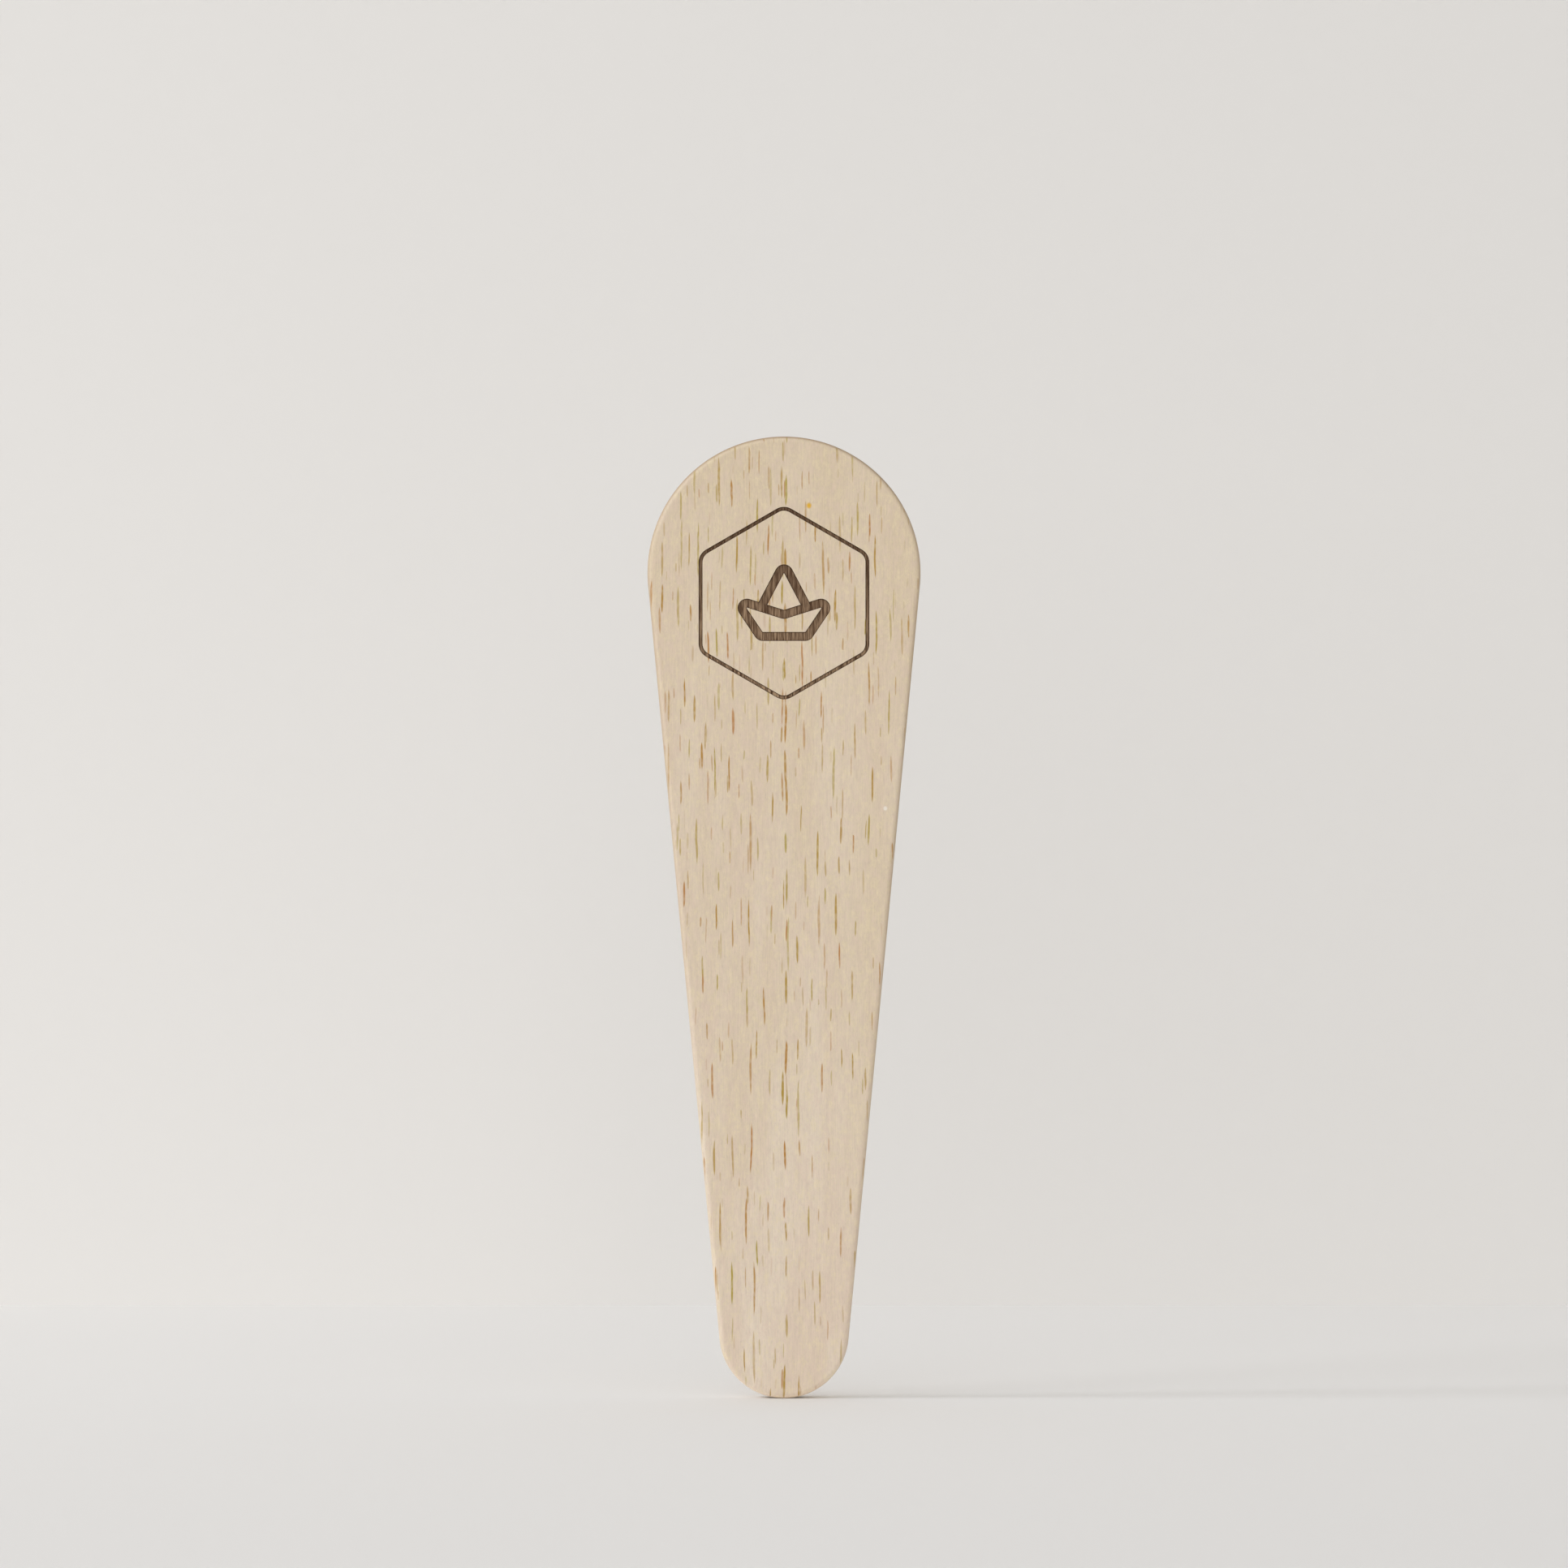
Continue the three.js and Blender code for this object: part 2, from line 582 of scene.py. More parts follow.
    def material(self) -> bpy.types.Material:
        """Builds the material.

        Returns:
            The material, which reads Object coordinates.
        """
        made = bpy.data.materials.new(self.name)
        made.use_nodes = True
        bench = Bench(made.node_tree)
        shader = made.node_tree.nodes["Principled BSDF"]
        spot = bench.add("ShaderNodeTexCoord")
        x, y, z = bench.parts(bench.out(spot, "Object"))
        x, y, z = x / MM, y / MM, z / MM
        sway = self.sway.draw(bench, bench.vector(x, y, z)) - 0.5
        place = bench.vector(x + sway * self.sway_reach + y * self.ray_lean, y, z)
        facing, rising = bench.parts(bench.out(spot, "Normal"))[1:]
        flat_sawn = (facing * facing).eased(0.1, 0.7)
        fleck, hue = self.all_flecks(bench, place)
        fleck = fleck * flat_sawn.between(self.edge_fleck, 1.0)
        fibre, pore = self.fibre.draw(bench, place) - 0.5, self.pore.draw(bench, place)
        speckle = self.speckle.draw(bench, place) - 0.5
        tone = fibre * self.fibre_tone + speckle * self.speckle_tone
        tone = tone - pore.eased(0.56, 0.74) * self.pore_tone
        colour = self.wood_colour(bench, place)
        # Painted light: the underside of the tip is brightened against the floor's contact shade.
        tip_light = (0 - rising).eased(0.1, 1.0) * self.tip_painted_light
        colour = bench.shade(colour, (tone + 1) * (tip_light + 1))
        colour = bench.blend(fleck, colour, bench.blend(hue, self.rust, self.olive))
        for speck in self.specks:
            colour = bench.blend(speck.cover(bench, x, y, z), colour, speck.colour)
        # Painted shade: the rounded edges darken more the higher up the blade they lie, the top end grain
        # most.
        edge = (1 - facing * facing).eased(0.05, 0.8) * (z / self.top_height).eased(0.0, 0.8)
        shade = edge * (rising.eased(0.0, 1.0) * self.crown_painted_shade + self.edge_painted_shade)
        colour = bench.blend(shade, colour, self.painted_shade_tone)
        bench.feed(shader.inputs["Base Color"], colour)
        rough = self.roughness - fleck * self.fleck_gloss + fibre * self.fibre_roughness
        bench.feed(shader.inputs["Roughness"], rough)
        shader.inputs["Specular IOR Level"].default_value = 0.4
        height = fibre * 0.6 - pore.eased(0.55, 0.8) * 0.8
        relief = bench.add("ShaderNodeBump", {"Height": height, "Strength": 0.5, "Distance": self.relief})
        bench.feed(shader.inputs["Normal"], bench.out(relief))
        return made

    def all_flecks(self, bench: Bench, place: Term) -> tuple[Term, Term]:
        """Draws every size of fleck, the strongest on top.

        Args:
            bench: The tree to draw in.
            place: The place in the swaying grain, in millimetres.

        Returns:
            How strong the flecks are there, and a random share for their hue.
        """
        across, _, z = bench.parts(place)
        crowding = self.crowding.draw(bench, place).between(*self.crowding_range)
        crowding = crowding - across * self.crowding_lean
        crowding = crowding + (z / self.top_height).eased(0.68, 0.85) * self.head_crowding
        broken = self.breaks.draw(bench, place)
        strength, hue = self.flecks[0].draw(bench, across, z, crowding)
        for size in self.flecks[1:]:
            more, more_hue = size.draw(bench, across, z, crowding)
            hue = more.above(strength).between(hue, more_hue)
            strength = strength.larger(more)
        return strength * broken.eased(0.25, 0.6).between(0.6, 1.0), hue

    def wood_colour(self, bench: Bench, place: Term) -> Term:
        """Colours the wood between its flecks, with painted shade that darkens it toward the head.

        Args:
            bench: The tree to draw in.
            place: The place in the swaying grain, in millimetres.

        Returns:
            The colour.
        """
        # Painted shade: the wood darkens toward the honey tone the higher up the blade it lies.
        head_shade = bench.parts(place)[2] / self.top_height
        bands, patches = self.bands.draw(bench, place), self.patches.draw(bench, place)
        mottle = self.mottle.draw(bench, place)
        colour = bench.blend(bands.eased(0.30, 0.70), self.pale, self.warm)
        honey_and_head_shade = patches.eased(0.35, 0.75) * 0.35 + head_shade * 0.65
        colour = bench.blend(honey_and_head_shade.clamped(), colour, self.honey)
        colour = bench.blend(mottle.eased(0.50, 0.61) * self.mottle_tone, colour, self.straw)
        return bench.blend(mottle.eased(0.50, 0.39) * self.mottle_tone, colour, self.rose)


@dataclass(frozen=True)
class CharFinish:
    """Wood burnt by the engraving laser: darkest on the walls, streaked where the beam swept.

    Attributes:
        face: How far the blade's front face lies from its middle.
        depth: How deep the recess is.
        foot: The height of the mark's lowest point.
        top: The height of the mark's highest point.
        name: The material's name.
        soot: The burnt walls.
        umber: The darker streaks of the floor.
        ash: The lighter streaks of the floor.
        sweep: The streaks that the beam left.
        fine: The fine lines between them.
        roughness: How rough the smoothest and the roughest lines are.
        relief: How far, in metres, the streaks stand out of the surface.
    """

    face: float
    depth: float
    foot: float
    top: float
    name: str = "burnt_beech"
    soot: Colour = paint(72, 50, 34)
    umber: Colour = paint(82, 58, 40)
    ash: Colour = paint(194, 164, 132)
    sweep: Grain = Grain((3.2, 0.0, 0.16), detail=3.0, roughness=0.75)
    fine: Grain = Grain((14.0, 0.0, 0.5), detail=1.0)
    roughness: tuple[float, float] = (0.72, 0.92)
    relief: float = 0.05 * MM

    def material(self) -> bpy.types.Material:
        """Builds the material.

        Returns:
            The material, which reads Object coordinates.
        """
        made = bpy.data.materials.new(self.name)
        made.use_nodes = True
        bench = Bench(made.node_tree)
        shader = made.node_tree.nodes["Principled BSDF"]
        x, y, z = bench.parts(bench.out(bench.add("ShaderNodeTexCoord"), "Object"))
        sunk = (y + self.face) / self.depth
        height = (z - self.foot) / (self.top - self.foot)
        place = bench.vector(x / MM, y / MM, z / MM)
        sweep, fine = self.sweep.draw(bench, place), self.fine.draw(bench, place)
        light = (sweep * 0.8 + fine * 0.2).eased(0.40, 0.64) * height.between(1.0, 0.25)
        floor = bench.blend(light, self.umber, self.ash)
        colour = bench.blend(sunk.eased(0.55, 1.0), self.soot, floor)
        bench.feed(shader.inputs["Base Color"], colour)
        bench.feed(shader.inputs["Roughness"], fine.between(*self.roughness))
        shader.inputs["Specular IOR Level"].default_value = 0.2
        relief = bench.add("ShaderNodeBump", {"Height": sweep, "Strength": 0.6, "Distance": self.relief})
        bench.feed(shader.inputs["Normal"], bench.out(relief))
        return made


@dataclass(frozen=True)
class PlasterFinish:
    """Pale matt paint, with painted light on its left and painted shade away from the corner, seen from the
    room's side only.

    Attributes:
        name: The material's name.
        axis: The axis that painted shade darkens the paint along, away from the corner: 1 or 2.
        start: Where the painted shade starts on it.
        end: Where the painted shade stops deepening on it.
        lit_left_tone: The paint's colour on the left, lightened with painted light.
        shaded_right_tone: The paint's colour on the right, darkened with painted shade.
        half_width: How far from the middle those colours are reached.
        shade_drop: How much darker painted shade makes the paint at the end.
    """

    name: str
    axis: int
    start: float
    end: float
    lit_left_tone: Colour = paint(237, 235, 232)
    shaded_right_tone: Colour = paint(232, 230, 227)
    half_width: float = 144 * MM
    shade_drop: float = 0.045

    def material(self) -> bpy.types.Material:
        """Builds the material.

        Returns:
            The material.
        """
        made = bpy.data.materials.new(self.name)
        made.use_nodes = True
        bench = Bench(made.node_tree)
        nodes = made.node_tree.nodes
        shader = nodes["Principled BSDF"]
        place = bench.parts(bench.out(bench.add("ShaderNodeTexCoord"), "Object"))
        share = ((place[self.axis] - self.start) / (self.end - self.start)).clamped()
        across = (place[0] / (self.half_width * 2) + 0.5).clamped()
        # Painted light and shade: the paint is lighter on the left and darker away from the corner.
        tone = bench.shade(bench.blend(across, self.lit_left_tone, self.shaded_right_tone), 1 - share * self.shade_drop)
        bench.feed(shader.inputs["Base Color"], tone)
        shader.inputs["Roughness"].default_value = 0.9
        shader.inputs["Specular IOR Level"].default_value = 0.1
        behind = bench.out(bench.add("ShaderNodeNewGeometry"), "Backfacing")
        clear = bench.out(bench.add("ShaderNodeBsdfTransparent"))
        inputs = {0: behind, 1: bench.out(shader), 2: clear}
        mixed = bench.out(bench.add("ShaderNodeMixShader", inputs))
        bench.feed(nodes["Material Output"].inputs["Surface"], mixed)
        return made


# ---------------------------------------------------------------------------------------------
# The engraved mark
# ---------------------------------------------------------------------------------------------


class LineWeight(Enum):
    """How wide an engraved line is."""

    THIN = 0.6 * MM
    BOLD = 1.4 * MM


@dataclass(frozen=True)
class EngravedLine:
    """One line of the mark.

    Attributes:
        name: The line's name.
        corners: Each corner's place across and up from the mark's centre.
        weight: How wide the line is.
        bend: The radius of the line's middle at its corners.
        closed: Whether the line runs back to its start.
    """

    name: str
    corners: list[Vector]
    weight: LineWeight
    bend: float
    closed: bool = True

    def path(self) -> bpy.types.Object:
        """Makes the line's middle as a curve of straight stretches.

        Returns:
            The curve, drawn in XY.
        """
        curve = bpy.data.curves.new(self.name + "_path", "CURVE")
        curve.dimensions = "3D"
        spline = curve.splines.new("POLY")
        spline.points.add(len(self.corners) - 1)
        for point, corner in zip(spline.points, self.corners, strict=True):
            point.co = (corner.x, corner.y, 0.0, 1.0)
        spline.use_cyclic_u = self.closed
        made = bpy.data.objects.new(curve.name, curve)
        bpy.context.scene.collection.objects.link(made)
        return made


@dataclass
class PaperBoatMark:
    """The mark in the blade's head: a bold folded-paper boat inside a thin hexagon.

    The boat's heights are measured up from its keel.

    Attributes:
        face: How far the blade's front face lies from its middle.
        height: The height of the mark's centre.
        depth: How deep the recess is.
        wall_slope: How far a wall leans out from the floor to the face.
        overcut: How far the cutter stands out of the face.
        hexagon_across_flats: The hexagon's width.
        hexagon_bend: The radius of the hexagon's corners.
        boat_bend: The radius of the boat's corners.
        boat_drop: How far the keel lies below the mark's centre.
        keel_width: The width of the keel.
        boat_width: The width between the ends.
        bow_rise: The height of the ends.
        gunwale_rise: The height of the gunwale's dip.
        sail_width: The width of the sail's foot.
        sail_rise: The height of the sail's top.
        bend_steps: How many points round off a corner.
    """

    face: float
    height: float = 124 * MM
    depth: float = 0.25 * MM
    wall_slope: float = 0.12 * MM
    overcut: float = 0.05 * MM
    hexagon_across_flats: float = 26 * MM
    hexagon_bend: float = 2 * MM
    boat_bend: float = 0.75 * MM
    boat_drop: float = 5.2 * MM
    keel_width: float = 7.4 * MM
    boat_width: float = 15.2 * MM
    bow_rise: float = 5.8 * MM
    gunwale_rise: float = 3.4 * MM
    sail_width: float = 7.2 * MM
    sail_rise: float = 11.4 * MM
    bend_steps: int = 9

    def reach(self) -> float:
        """Returns how far the hexagon's corners lie from its centre."""
        return self.hexagon_across_flats / 2 / math.cos(math.radians(30))

    def hexagon(self) -> EngravedLine:
        """Draws the thin hexagon, standing on a point.

        Returns:
            The line.
        """
        angles = [math.radians(30 + 60 * i) for i in range(6)]
        corners = [self.reach() * Vector((math.cos(a), math.sin(a))) for a in angles]
        return EngravedLine("hexagon", corners, LineWeight.THIN, self.hexagon_bend)

    def boat_point(self, across: float, rise: float) -> Vector:
        """Returns a point of the boat, across from the middle and up from the keel."""
        return Vector((across, rise - self.boat_drop))

    def hull(self) -> EngravedLine:
        """Draws the hull: the keel, two raised ends and the gunwale between them.

        Returns:
            The line.
        """
        corners = [
            self.boat_point(-self.keel_width / 2, 0),
            self.boat_point(self.keel_width / 2, 0),
            self.boat_point(self.boat_width / 2, self.bow_rise),
            self.boat_point(0, self.gunwale_rise),
            self.boat_point(-self.boat_width / 2, self.bow_rise),
        ]
        return EngravedLine("hull", corners, LineWeight.BOLD, self.boat_bend)

    def sail(self) -> EngravedLine:
        """Draws the sail's two sloping sides, which start on the gunwale.

        Returns:
            The line.
        """
        climb = (self.bow_rise - self.gunwale_rise) / self.boat_width
        foot_rise = self.gunwale_rise + climb * self.sail_width
        corners = [
            self.boat_point(self.sail_width / 2, foot_rise),
            self.boat_point(0, self.sail_rise),
            self.boat_point(-self.sail_width / 2, foot_rise),
        ]
        return EngravedLine("sail", corners, LineWeight.BOLD, self.boat_bend, closed=False)

    def lines(self) -> list[EngravedLine]:
        """Returns every line of the mark."""
        return [self.hexagon(), self.hull(), self.sail()]

    def cutter_tree(self) -> FormTree:
        """Builds the tree that sweeps a sloping-sided cutter along a line.

        Returns:
            The tree. Its result lies where the line is cut out of the blade.
        """
        form = FormTree("engraved_line")
        bench = form.bench
        path = form.input("Path", "Object")
        width, bend = form.input("Line Width"), form.input("Bend")
        steps = form.input("Bend Steps", "Int")
        depth, slope = form.input("Depth"), form.input("Wall Slope")
        overcut = form.input("Overcut")
        face, height = form.input("Face"), form.input("Mark Height")
        line = bench.out(bench.add("GeometryNodeObjectInfo", {"Object": path}), "Geometry")
        inputs = {"Curve": line, "Count": steps, "Radius": bend, "Limit Radius": True}
        bent = bench.out(bench.add("GeometryNodeFilletCurve", inputs, mode="POLY"))
        upright = bench.out(bench.add("GeometryNodeSetCurveNormal", {"Curve": bent}, mode="Z_UP"))
        floor_half = width / 2 - slope
        top_half = width / 2 + slope * overcut / depth
        points = {
            "Point 1": bench.vector(top_half * -1, overcut * -1, 0.0),
            "Point 2": bench.vector(top_half, overcut * -1, 0.0),
            "Point 3": bench.vector(floor_half, depth, 0.0),
            "Point 4": bench.vector(floor_half * -1, depth, 0.0),
        }
        profile = bench.out(bench.add("GeometryNodeCurvePrimitiveQuadrilateral", points, mode="POINTS"))
        inputs = {"Curve": upright, "Profile Curve": profile, "Fill Caps": True}
        swept = bench.out(bench.add("GeometryNodeCurveToMesh", inputs))
        inputs = {"Geometry": swept, "Translation": bench.vector(0.0, face * -1, height)}
        moved = bench.add("GeometryNodeTransform", inputs)
        moved.inputs["Rotation"].default_value = (math.pi / 2, 0, 0)
        form.end(bench.out(moved), form.input("Char", "Material"))
        return form

    def cutters(self, char: bpy.types.Material) -> list[bpy.types.Object]:
        """Makes the cutter of each line.

        Args:
            char: The finish of the cut faces.

        Returns:
            The cutters, which aren't part of the object and are removed after use.
        """
        tree = self.cutter_tree()
        made = []
        for line in self.lines():
            path = line.path()
            values = {
                "Path": path,
                "Line Width": line.weight.value,
                "Bend": line.bend,
                "Bend Steps": self.bend_steps,
                "Depth": self.depth,
                "Wall Slope": self.wall_slope,
                "Overcut": self.overcut,
                "Face": self.face,
                "Mark Height": self.height,
                "Char": char,
            }
            made.append(tree.run(line.name + "_cutter", values))
            bpy.data.objects.remove(path)
        return made


# ---------------------------------------------------------------------------------------------
# The blade
# ---------------------------------------------------------------------------------------------


@dataclass
class Blade:
    """The blade: two circles joined by their tangents, one thickness, every edge rounded.

    Attributes:
        low: The lowest corner of the blade's box.
        high: The highest corner of the blade's box.
        tip_radius: The radius of the narrow tip.
        edge_round: The radius of the edges.
        margin: The width of the narrow flat ring that keeps the faces flat inside the edges.
        outline_steps: How many points go round the outline.
        edge_steps: How many strips round off an edge.
        sharp_angle: The angle, in degrees, past which an edge is crisp.
        weld: How close two points must lie to be made one.
    """

    low: Vector
    high: Vector
    tip_radius: float = 10.1 * MM
    edge_round: float = 0.8 * MM
    margin: float = 0.15 * MM
    outline_steps: int = 320
    edge_steps: int = 8
    sharp_angle: float = 30.0
    weld: float = 0.001 * MM
    mark: PaperBoatMark = field(init=False)

    def __post_init__(self) -> None:
        """Places the mark on the front face."""
        self.mark = PaperBoatMark(face=self.thickness() / 2)

    def length(self) -> float:
        """Returns the blade's length."""
        return self.high.z - self.low.z

    def thickness(self) -> float:
        """Returns the blade's thickness."""
        return self.high.y - self.low.y

    def head_radius(self) -> float:
        """Returns the radius of the broad head, which is as wide as the blade's box."""
        return (self.high.x - self.low.x) / 2

    def blank(self, form: FormTree, beech: Term) -> Term:
        """Shapes a cylinder's side into the blade's outline and rounded edges.

        Every point of the cylinder keeps its direction from the axis. That direction says which
        end of the blade the point belongs to, and its row says where on the edge it lies.

        Args:
            form: The tree to build in.
            beech: The finish of the wood.

        Returns:
            The closed blank.
        """
        bench = form.bench
        length, thickness = form.input("Length"), form.input("Thickness")
        head, tip = form.input("Head Radius"), form.input("Tip Radius")
        edge, margin = form.input("Edge Round"), form.input("Flat Margin")
        around, strips = form.input("Outline Steps", "Int"), form.input("Edge Steps", "Int")
        rows = strips * 2 + 3
        inputs = {"Vertices": around, "Side Segments": rows, "Radius": 1.0, "Depth": 1.0}
        tube = bench.out(bench.add("GeometryNodeMeshCylinder", inputs, fill_type="NGON"), "Mesh")
        out_x, out_z, turn = bench.parts(bench.out(bench.add("GeometryNodeInputPosition")))
        row = (turn + 0.5) * rows
        front = ((row - 1) / strips).clamped() * (math.pi / 2)
        wall = (row - 1 - strips).clamped()
        back = ((row - 2 - strips) / strips).clamped() * (math.pi / 2)
        flat = (1 - row).clamped() + (row - rows + 1).clamped()
        inset = margin * flat + edge * (2 - front.sine() - back.cosine())
        through = edge * (1 - front.cosine() + back.sine()) + (thickness - edge * 2) * wall
        lean = (head - tip) / (length - head - tip)
        at_head = out_z.above(lean * -1)
        radius = at_head.between(tip, head) - inset
        middle = at_head.between(tip, length - head)
        place = bench.vector(out_x * radius, through - thickness / 2, middle + out_z * radius)
        shaped = bench.out(bench.add("GeometryNodeSetPosition", {"Geometry": tube, "Position": place}))
        outward = bench.out(bench.add("GeometryNodeFlipFaces", {"Mesh": shaped}))
        return bench.out(bench.add("GeometryNodeSetMaterial", {"Geometry": outward, "Material": beech}))

    def tree(self, cutters: int) -> FormTree:
        """Builds the tree that makes the blank and cuts the mark into it.

        Args:
            cutters: How many cutters there are.

        Returns:
            The tree.
        """
        form = FormTree("engraved_blade")
        bench = form.bench
        beech, char = form.input("Beech", "Material"), form.input("Char", "Material")
        blank = self.blank(form, beech)
        cut = bench.add("GeometryNodeMeshBoolean", {"Mesh 1": blank}, operation="DIFFERENCE", solver="EXACT")
        for i in range(cutters):
            cutter = form.input(f"Cutter {i + 1}", "Object")
            solid = bench.out(bench.add("GeometryNodeObjectInfo", {"Object": cutter}), "Geometry")
            bench.feed(cut.inputs["Mesh 2"], solid)
        inputs = {"Geometry": bench.out(cut, "Mesh"), "Distance": form.input("Weld")}
        welded = bench.out(bench.add("GeometryNodeMergeByDistance", inputs))
        smooth = bench.add("GeometryNodeSetShadeSmooth", {"Geometry": welded}, domain="FACE")
        angle = bench.out(bench.add("GeometryNodeInputMeshEdgeAngle"), "Unsigned Angle")
        crisp = {"Geometry": bench.out(smooth), "Selection": angle.above(form.input("Sharp Angle"))}
        edges = bench.add("GeometryNodeSetShadeSmooth", crisp, domain="EDGE")
        edges.inputs["Shade Smooth"].default_value = False
        burnt = bench.out(bench.add("GeometryNodeMaterialSelection", {"Material": char}))
        form.end(bench.out(edges), beech, burnt.below(0.5))
        return form

    def build(self, beech: bpy.types.Material, char: bpy.types.Material) -> bpy.types.Object:
        """Builds the blade with its mark.

        Args:
            beech: The finish of the wood.
            char: The finish of the burnt recess.

        Returns:
            The piece.
        """
        cutters = self.mark.cutters(char)
        values = {
            "Length": self.length(),
            "Thickness": self.thickness(),
            "Head Radius": self.head_radius(),
            "Tip Radius": self.tip_radius,
            "Edge Round": self.edge_round,
            "Flat Margin": self.margin,
            "Outline Steps": self.outline_steps,
            "Edge Steps": self.edge_steps,
            "Sharp Angle": math.radians(self.sharp_angle),
            "Weld": self.weld,
            "Beech": beech,
            "Char": char,
        }
        values |= {f"Cutter {i + 1}": cutter for i, cutter in enumerate(cutters)}
        piece = self.tree(len(cutters)).run("engraved_beech_blade", values)
        for cutter in cutters:
            bpy.data.objects.remove(cutter)
        return piece


# ---------------------------------------------------------------------------------------------
# The studio
# ---------------------------------------------------------------------------------------------


@dataclass(frozen=True)
class SoftLamp:
    """One soft rectangular lamp, aimed at the middle of the blade.

    Attributes:
        name: The lamp's name.
        azimuth: How far it stands to the front of straight left, in degrees.
        elevation: How far it stands over the blade's middle, in degrees.
        distance: How far away it stands.
        width: The length of its level sides.
        height: The length of its upright sides.
        strength: How much light it throws on a surface that faces it, in white-paper units.
        colour: The colour of its light.
    """

    name: str
    azimuth: float
    elevation: float
    distance: float
    width: float
    height: float
    strength: float
    colour: tuple[float, float, float] = (1.0, 1.0, 1.0)

    def hang(self, aim: Vector) -> None:
        """Hangs the lamp.

        Args:
            aim: The place that it points at.
        """
        turn, rise = math.radians(self.azimuth), math.radians(self.elevation)
        level = math.cos(rise) * self.distance
        offset = Vector((-level * math.cos(turn), -level * math.sin(turn), self.distance * math.sin(rise)))
        light = bpy.data.lights.new(self.name, "AREA")
        light.shape = "RECTANGLE"
        light.size, light.size_y = self.width, self.height
        # A lamp of this power lights a surface that faces it as strongly at its distance.
        light.energy = self.strength * (math.pi * self.distance) ** 2
        light.color = self.colour
        made = bpy.data.objects.new(self.name, light)
        made.location = aim + offset
        made.rotation_euler = (-offset).to_track_quat("-Z", "Y").to_euler()
        bpy.context.scene.collection.objects.link(made)


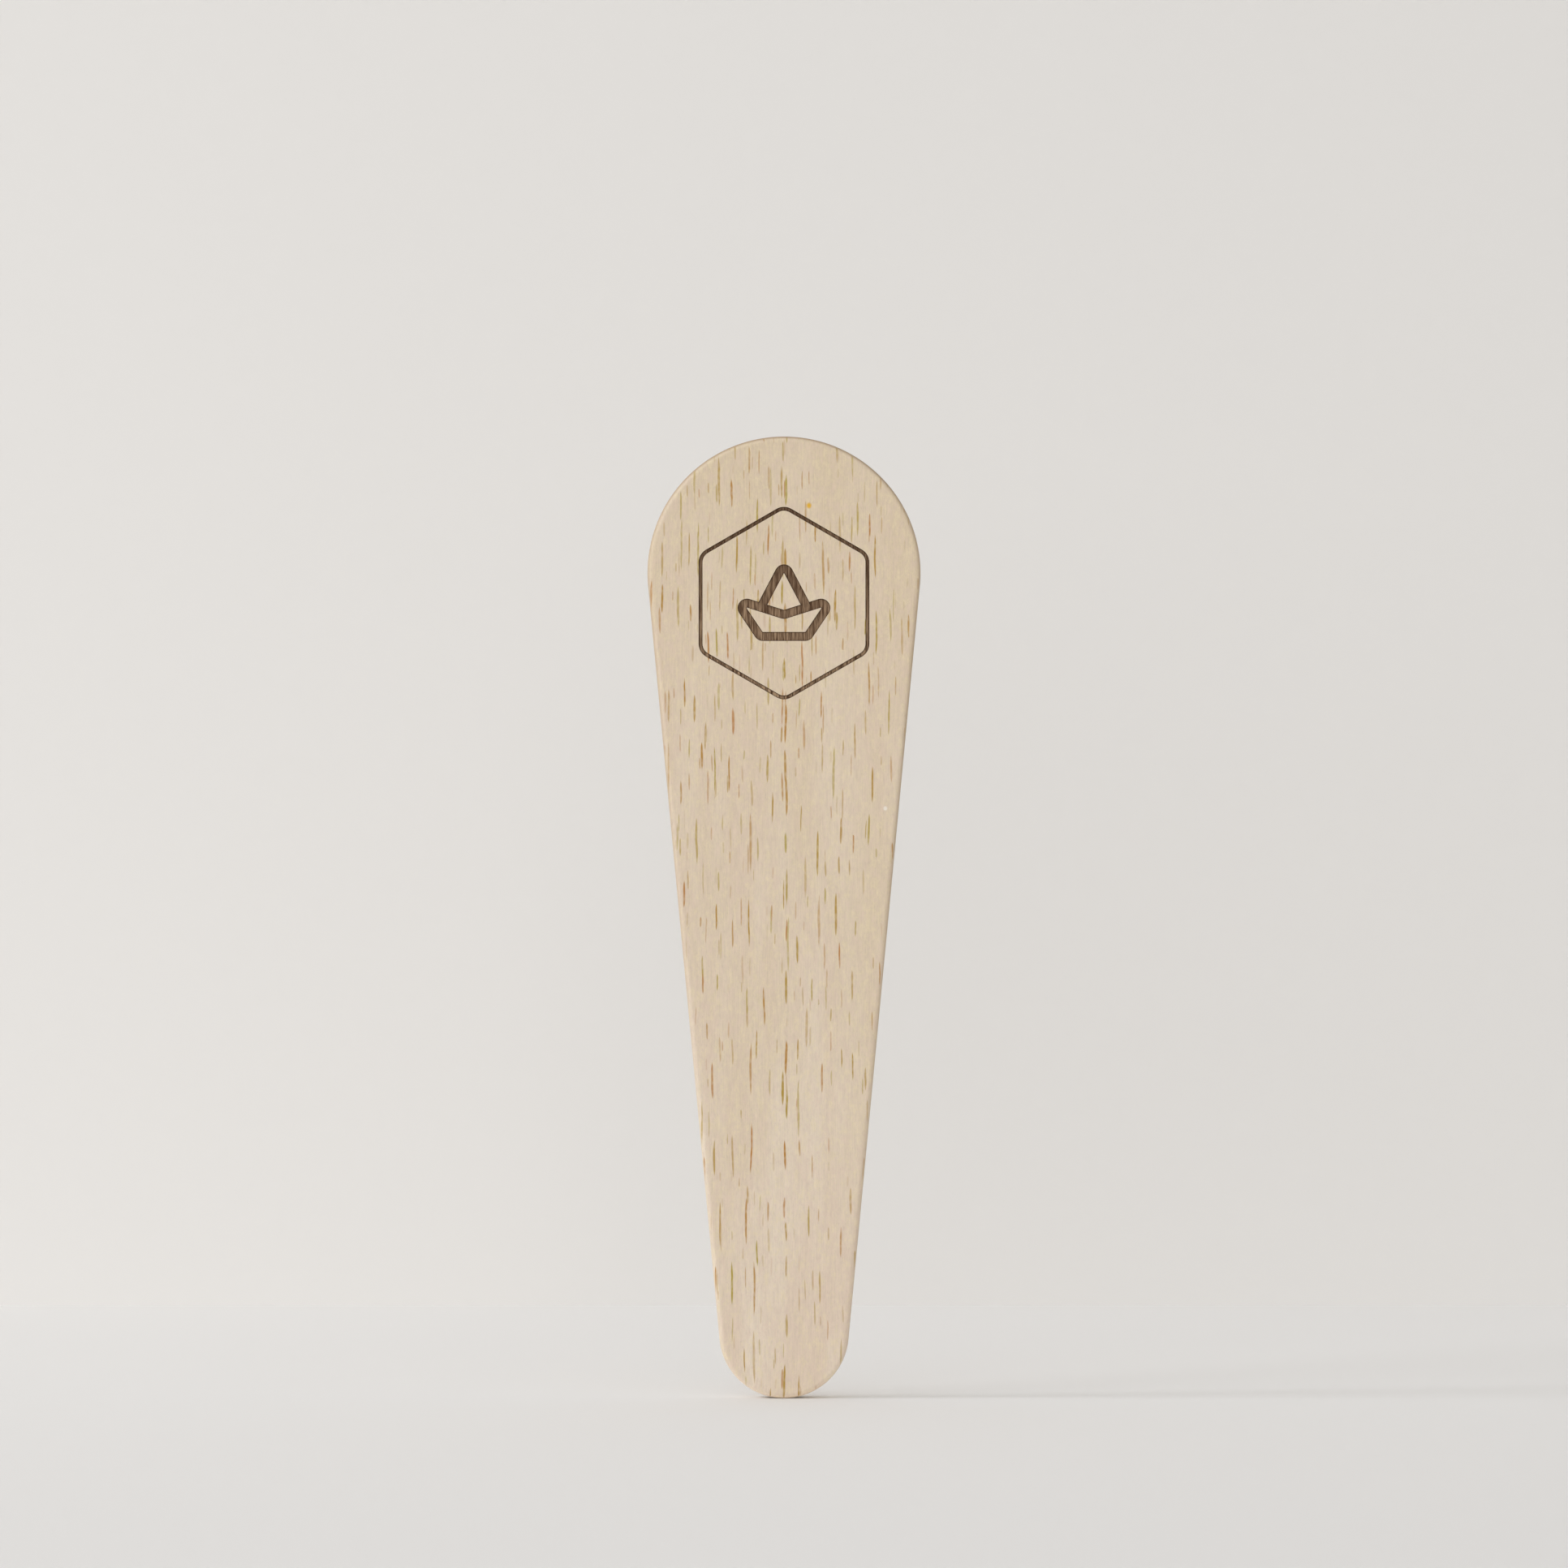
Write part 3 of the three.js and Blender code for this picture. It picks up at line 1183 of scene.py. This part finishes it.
@dataclass
class Studio:
    """A pale floor and wall with painted light and shade, soft light from the left, and a level camera.

    Attributes:
        aim: The place that the lamps point at.
        wall_distance: How far behind the blade the wall stands.
        reach: How far the floor and the wall run.
        camera_distance: How far in front of the blade the camera stands.
        camera_height: The height of the camera.
        half_view: Half the width of the view at the blade.
        floor_shade_reach: How far in front of the blade the floor's painted shade is darkest.
        wall_shade_reach: How far up the wall its painted shade is darkest.
        fill: The strength of the light from all round.
        fill_tone: The colour of that light.
        lean: The way toward its brighter side, and by how much it is brighter there.
        lamps: The lamps.
    """

    aim: Vector
    wall_distance: float = 176 * MM
    reach: float = 3.0
    camera_distance: float = 1000 * MM
    camera_height: float = 95.8 * MM
    half_view: float = 122.2 * MM
    floor_shade_reach: float = 180 * MM
    wall_shade_reach: float = 240 * MM
    fill: float = 0.628
    fill_tone: Colour = (1.0, 0.985, 0.97, 1.0)
    lean: tuple[float, float, float] = (-0.30, -0.50, -0.30)
    lamps: tuple[SoftLamp, ...] = (
        SoftLamp("key", 16.5, 33.0, 8.0, 4.56, 3.20, 0.22, (0.93, 0.98, 1.06)),
        SoftLamp("key_core", 4.2, 33.0, 8.0, 1.04, 2.00, 0.19, (0.93, 0.98, 1.06)),
        SoftLamp("front_fill", 75.0, 10.0, 8.0, 8.0, 5.3, 0.20),
    )

    def sheet(self, name: str, corners: list[tuple[float, float, float]], finish: PlasterFinish) -> None:
        """Lays one flat sheet of the stage.

        Args:
            name: The sheet's name.
            corners: Its four corners, anticlockwise from the room's side.
            finish: Its paint.
        """
        mesh = bpy.data.meshes.new(name)
        mesh.from_pydata(corners, [], [tuple(range(len(corners)))])
        mesh.materials.append(finish.material())
        made = bpy.data.objects.new(name, mesh)
        bpy.context.scene.collection.objects.link(made)

    def room(self) -> None:
        """Builds the floor and the wall."""
        far, back = self.reach, self.wall_distance
        floor = [(-far, -far, 0), (far, -far, 0), (far, back, 0), (-far, back, 0)]
        wall = [(-far, back, 0), (far, back, 0), (far, back, far), (-far, back, far)]
        self.sheet("floor", floor, PlasterFinish("floor_paint", 1, back, -self.floor_shade_reach))
        self.sheet("wall", wall, PlasterFinish("wall_paint", 2, 0.0, self.wall_shade_reach))

    def light(self) -> None:
        """Sets the even fill and hangs the lamps."""
        world = bpy.data.worlds.new("even_fill")
        world.use_nodes = True
        bench = Bench(world.node_tree)
        background = world.node_tree.nodes["Background"]
        background.inputs["Color"].default_value = self.fill_tone
        toward = bench.out(bench.add("ShaderNodeTexCoord"), "Generated")
        inputs = {0: toward, 1: self.lean}
        share = bench.out(bench.add("ShaderNodeVectorMath", inputs, operation="DOT_PRODUCT"), "Value")
        bench.feed(background.inputs["Strength"], (share + 1.0) * self.fill)
        bpy.context.scene.world = world
        for lamp in self.lamps:
            lamp.hang(self.aim)

    def camera(self) -> None:
        """Stands the camera level with its axis over the blade's middle."""
        lens = bpy.data.cameras.new("camera")
        front_distance = self.camera_distance + CAD_BOX[0].y
        lens.lens = lens.sensor_width / 2 * front_distance / self.half_view
        lens.clip_start = 10 * MM
        made = bpy.data.objects.new("camera", lens)
        made.location = (0, -self.camera_distance, self.camera_height)
        made.rotation_euler = (math.pi / 2, 0, 0)
        bpy.context.scene.collection.objects.link(made)
        bpy.context.scene.camera = made
        bpy.context.scene.view_settings.view_transform = "Standard"

    def build(self) -> None:
        """Builds the room, the light and the camera."""
        self.room()
        self.light()
        self.camera()


# ---------------------------------------------------------------------------------------------


def report(piece: bpy.types.Object) -> None:
    """Logs a piece's name, faces and size.

    Args:
        piece: The finished piece.
    """
    size = [round(side / MM, 2) for side in piece.dimensions]
    LOG.info("%s: %d faces, %s mm", piece.name, len(piece.data.polygons), size)


def main() -> None:
    """Builds the blade and the studio around it."""
    logging.basicConfig(level=logging.INFO, format="%(name)s: %(message)s")
    blade = Blade(*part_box(NODE))
    mark = blade.mark
    reach = mark.reach()
    char = CharFinish(mark.face, mark.depth, mark.height - reach, mark.height + reach)
    piece = blade.build(BeechFinish().material(), char.material())
    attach(piece, BODY)
    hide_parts(NODE)
    bpy.context.view_layer.update()
    report(piece)
    Studio(aim=(CAD_BOX[0] + CAD_BOX[1]) / 2).build()


if __name__ == "__main__":
    main()
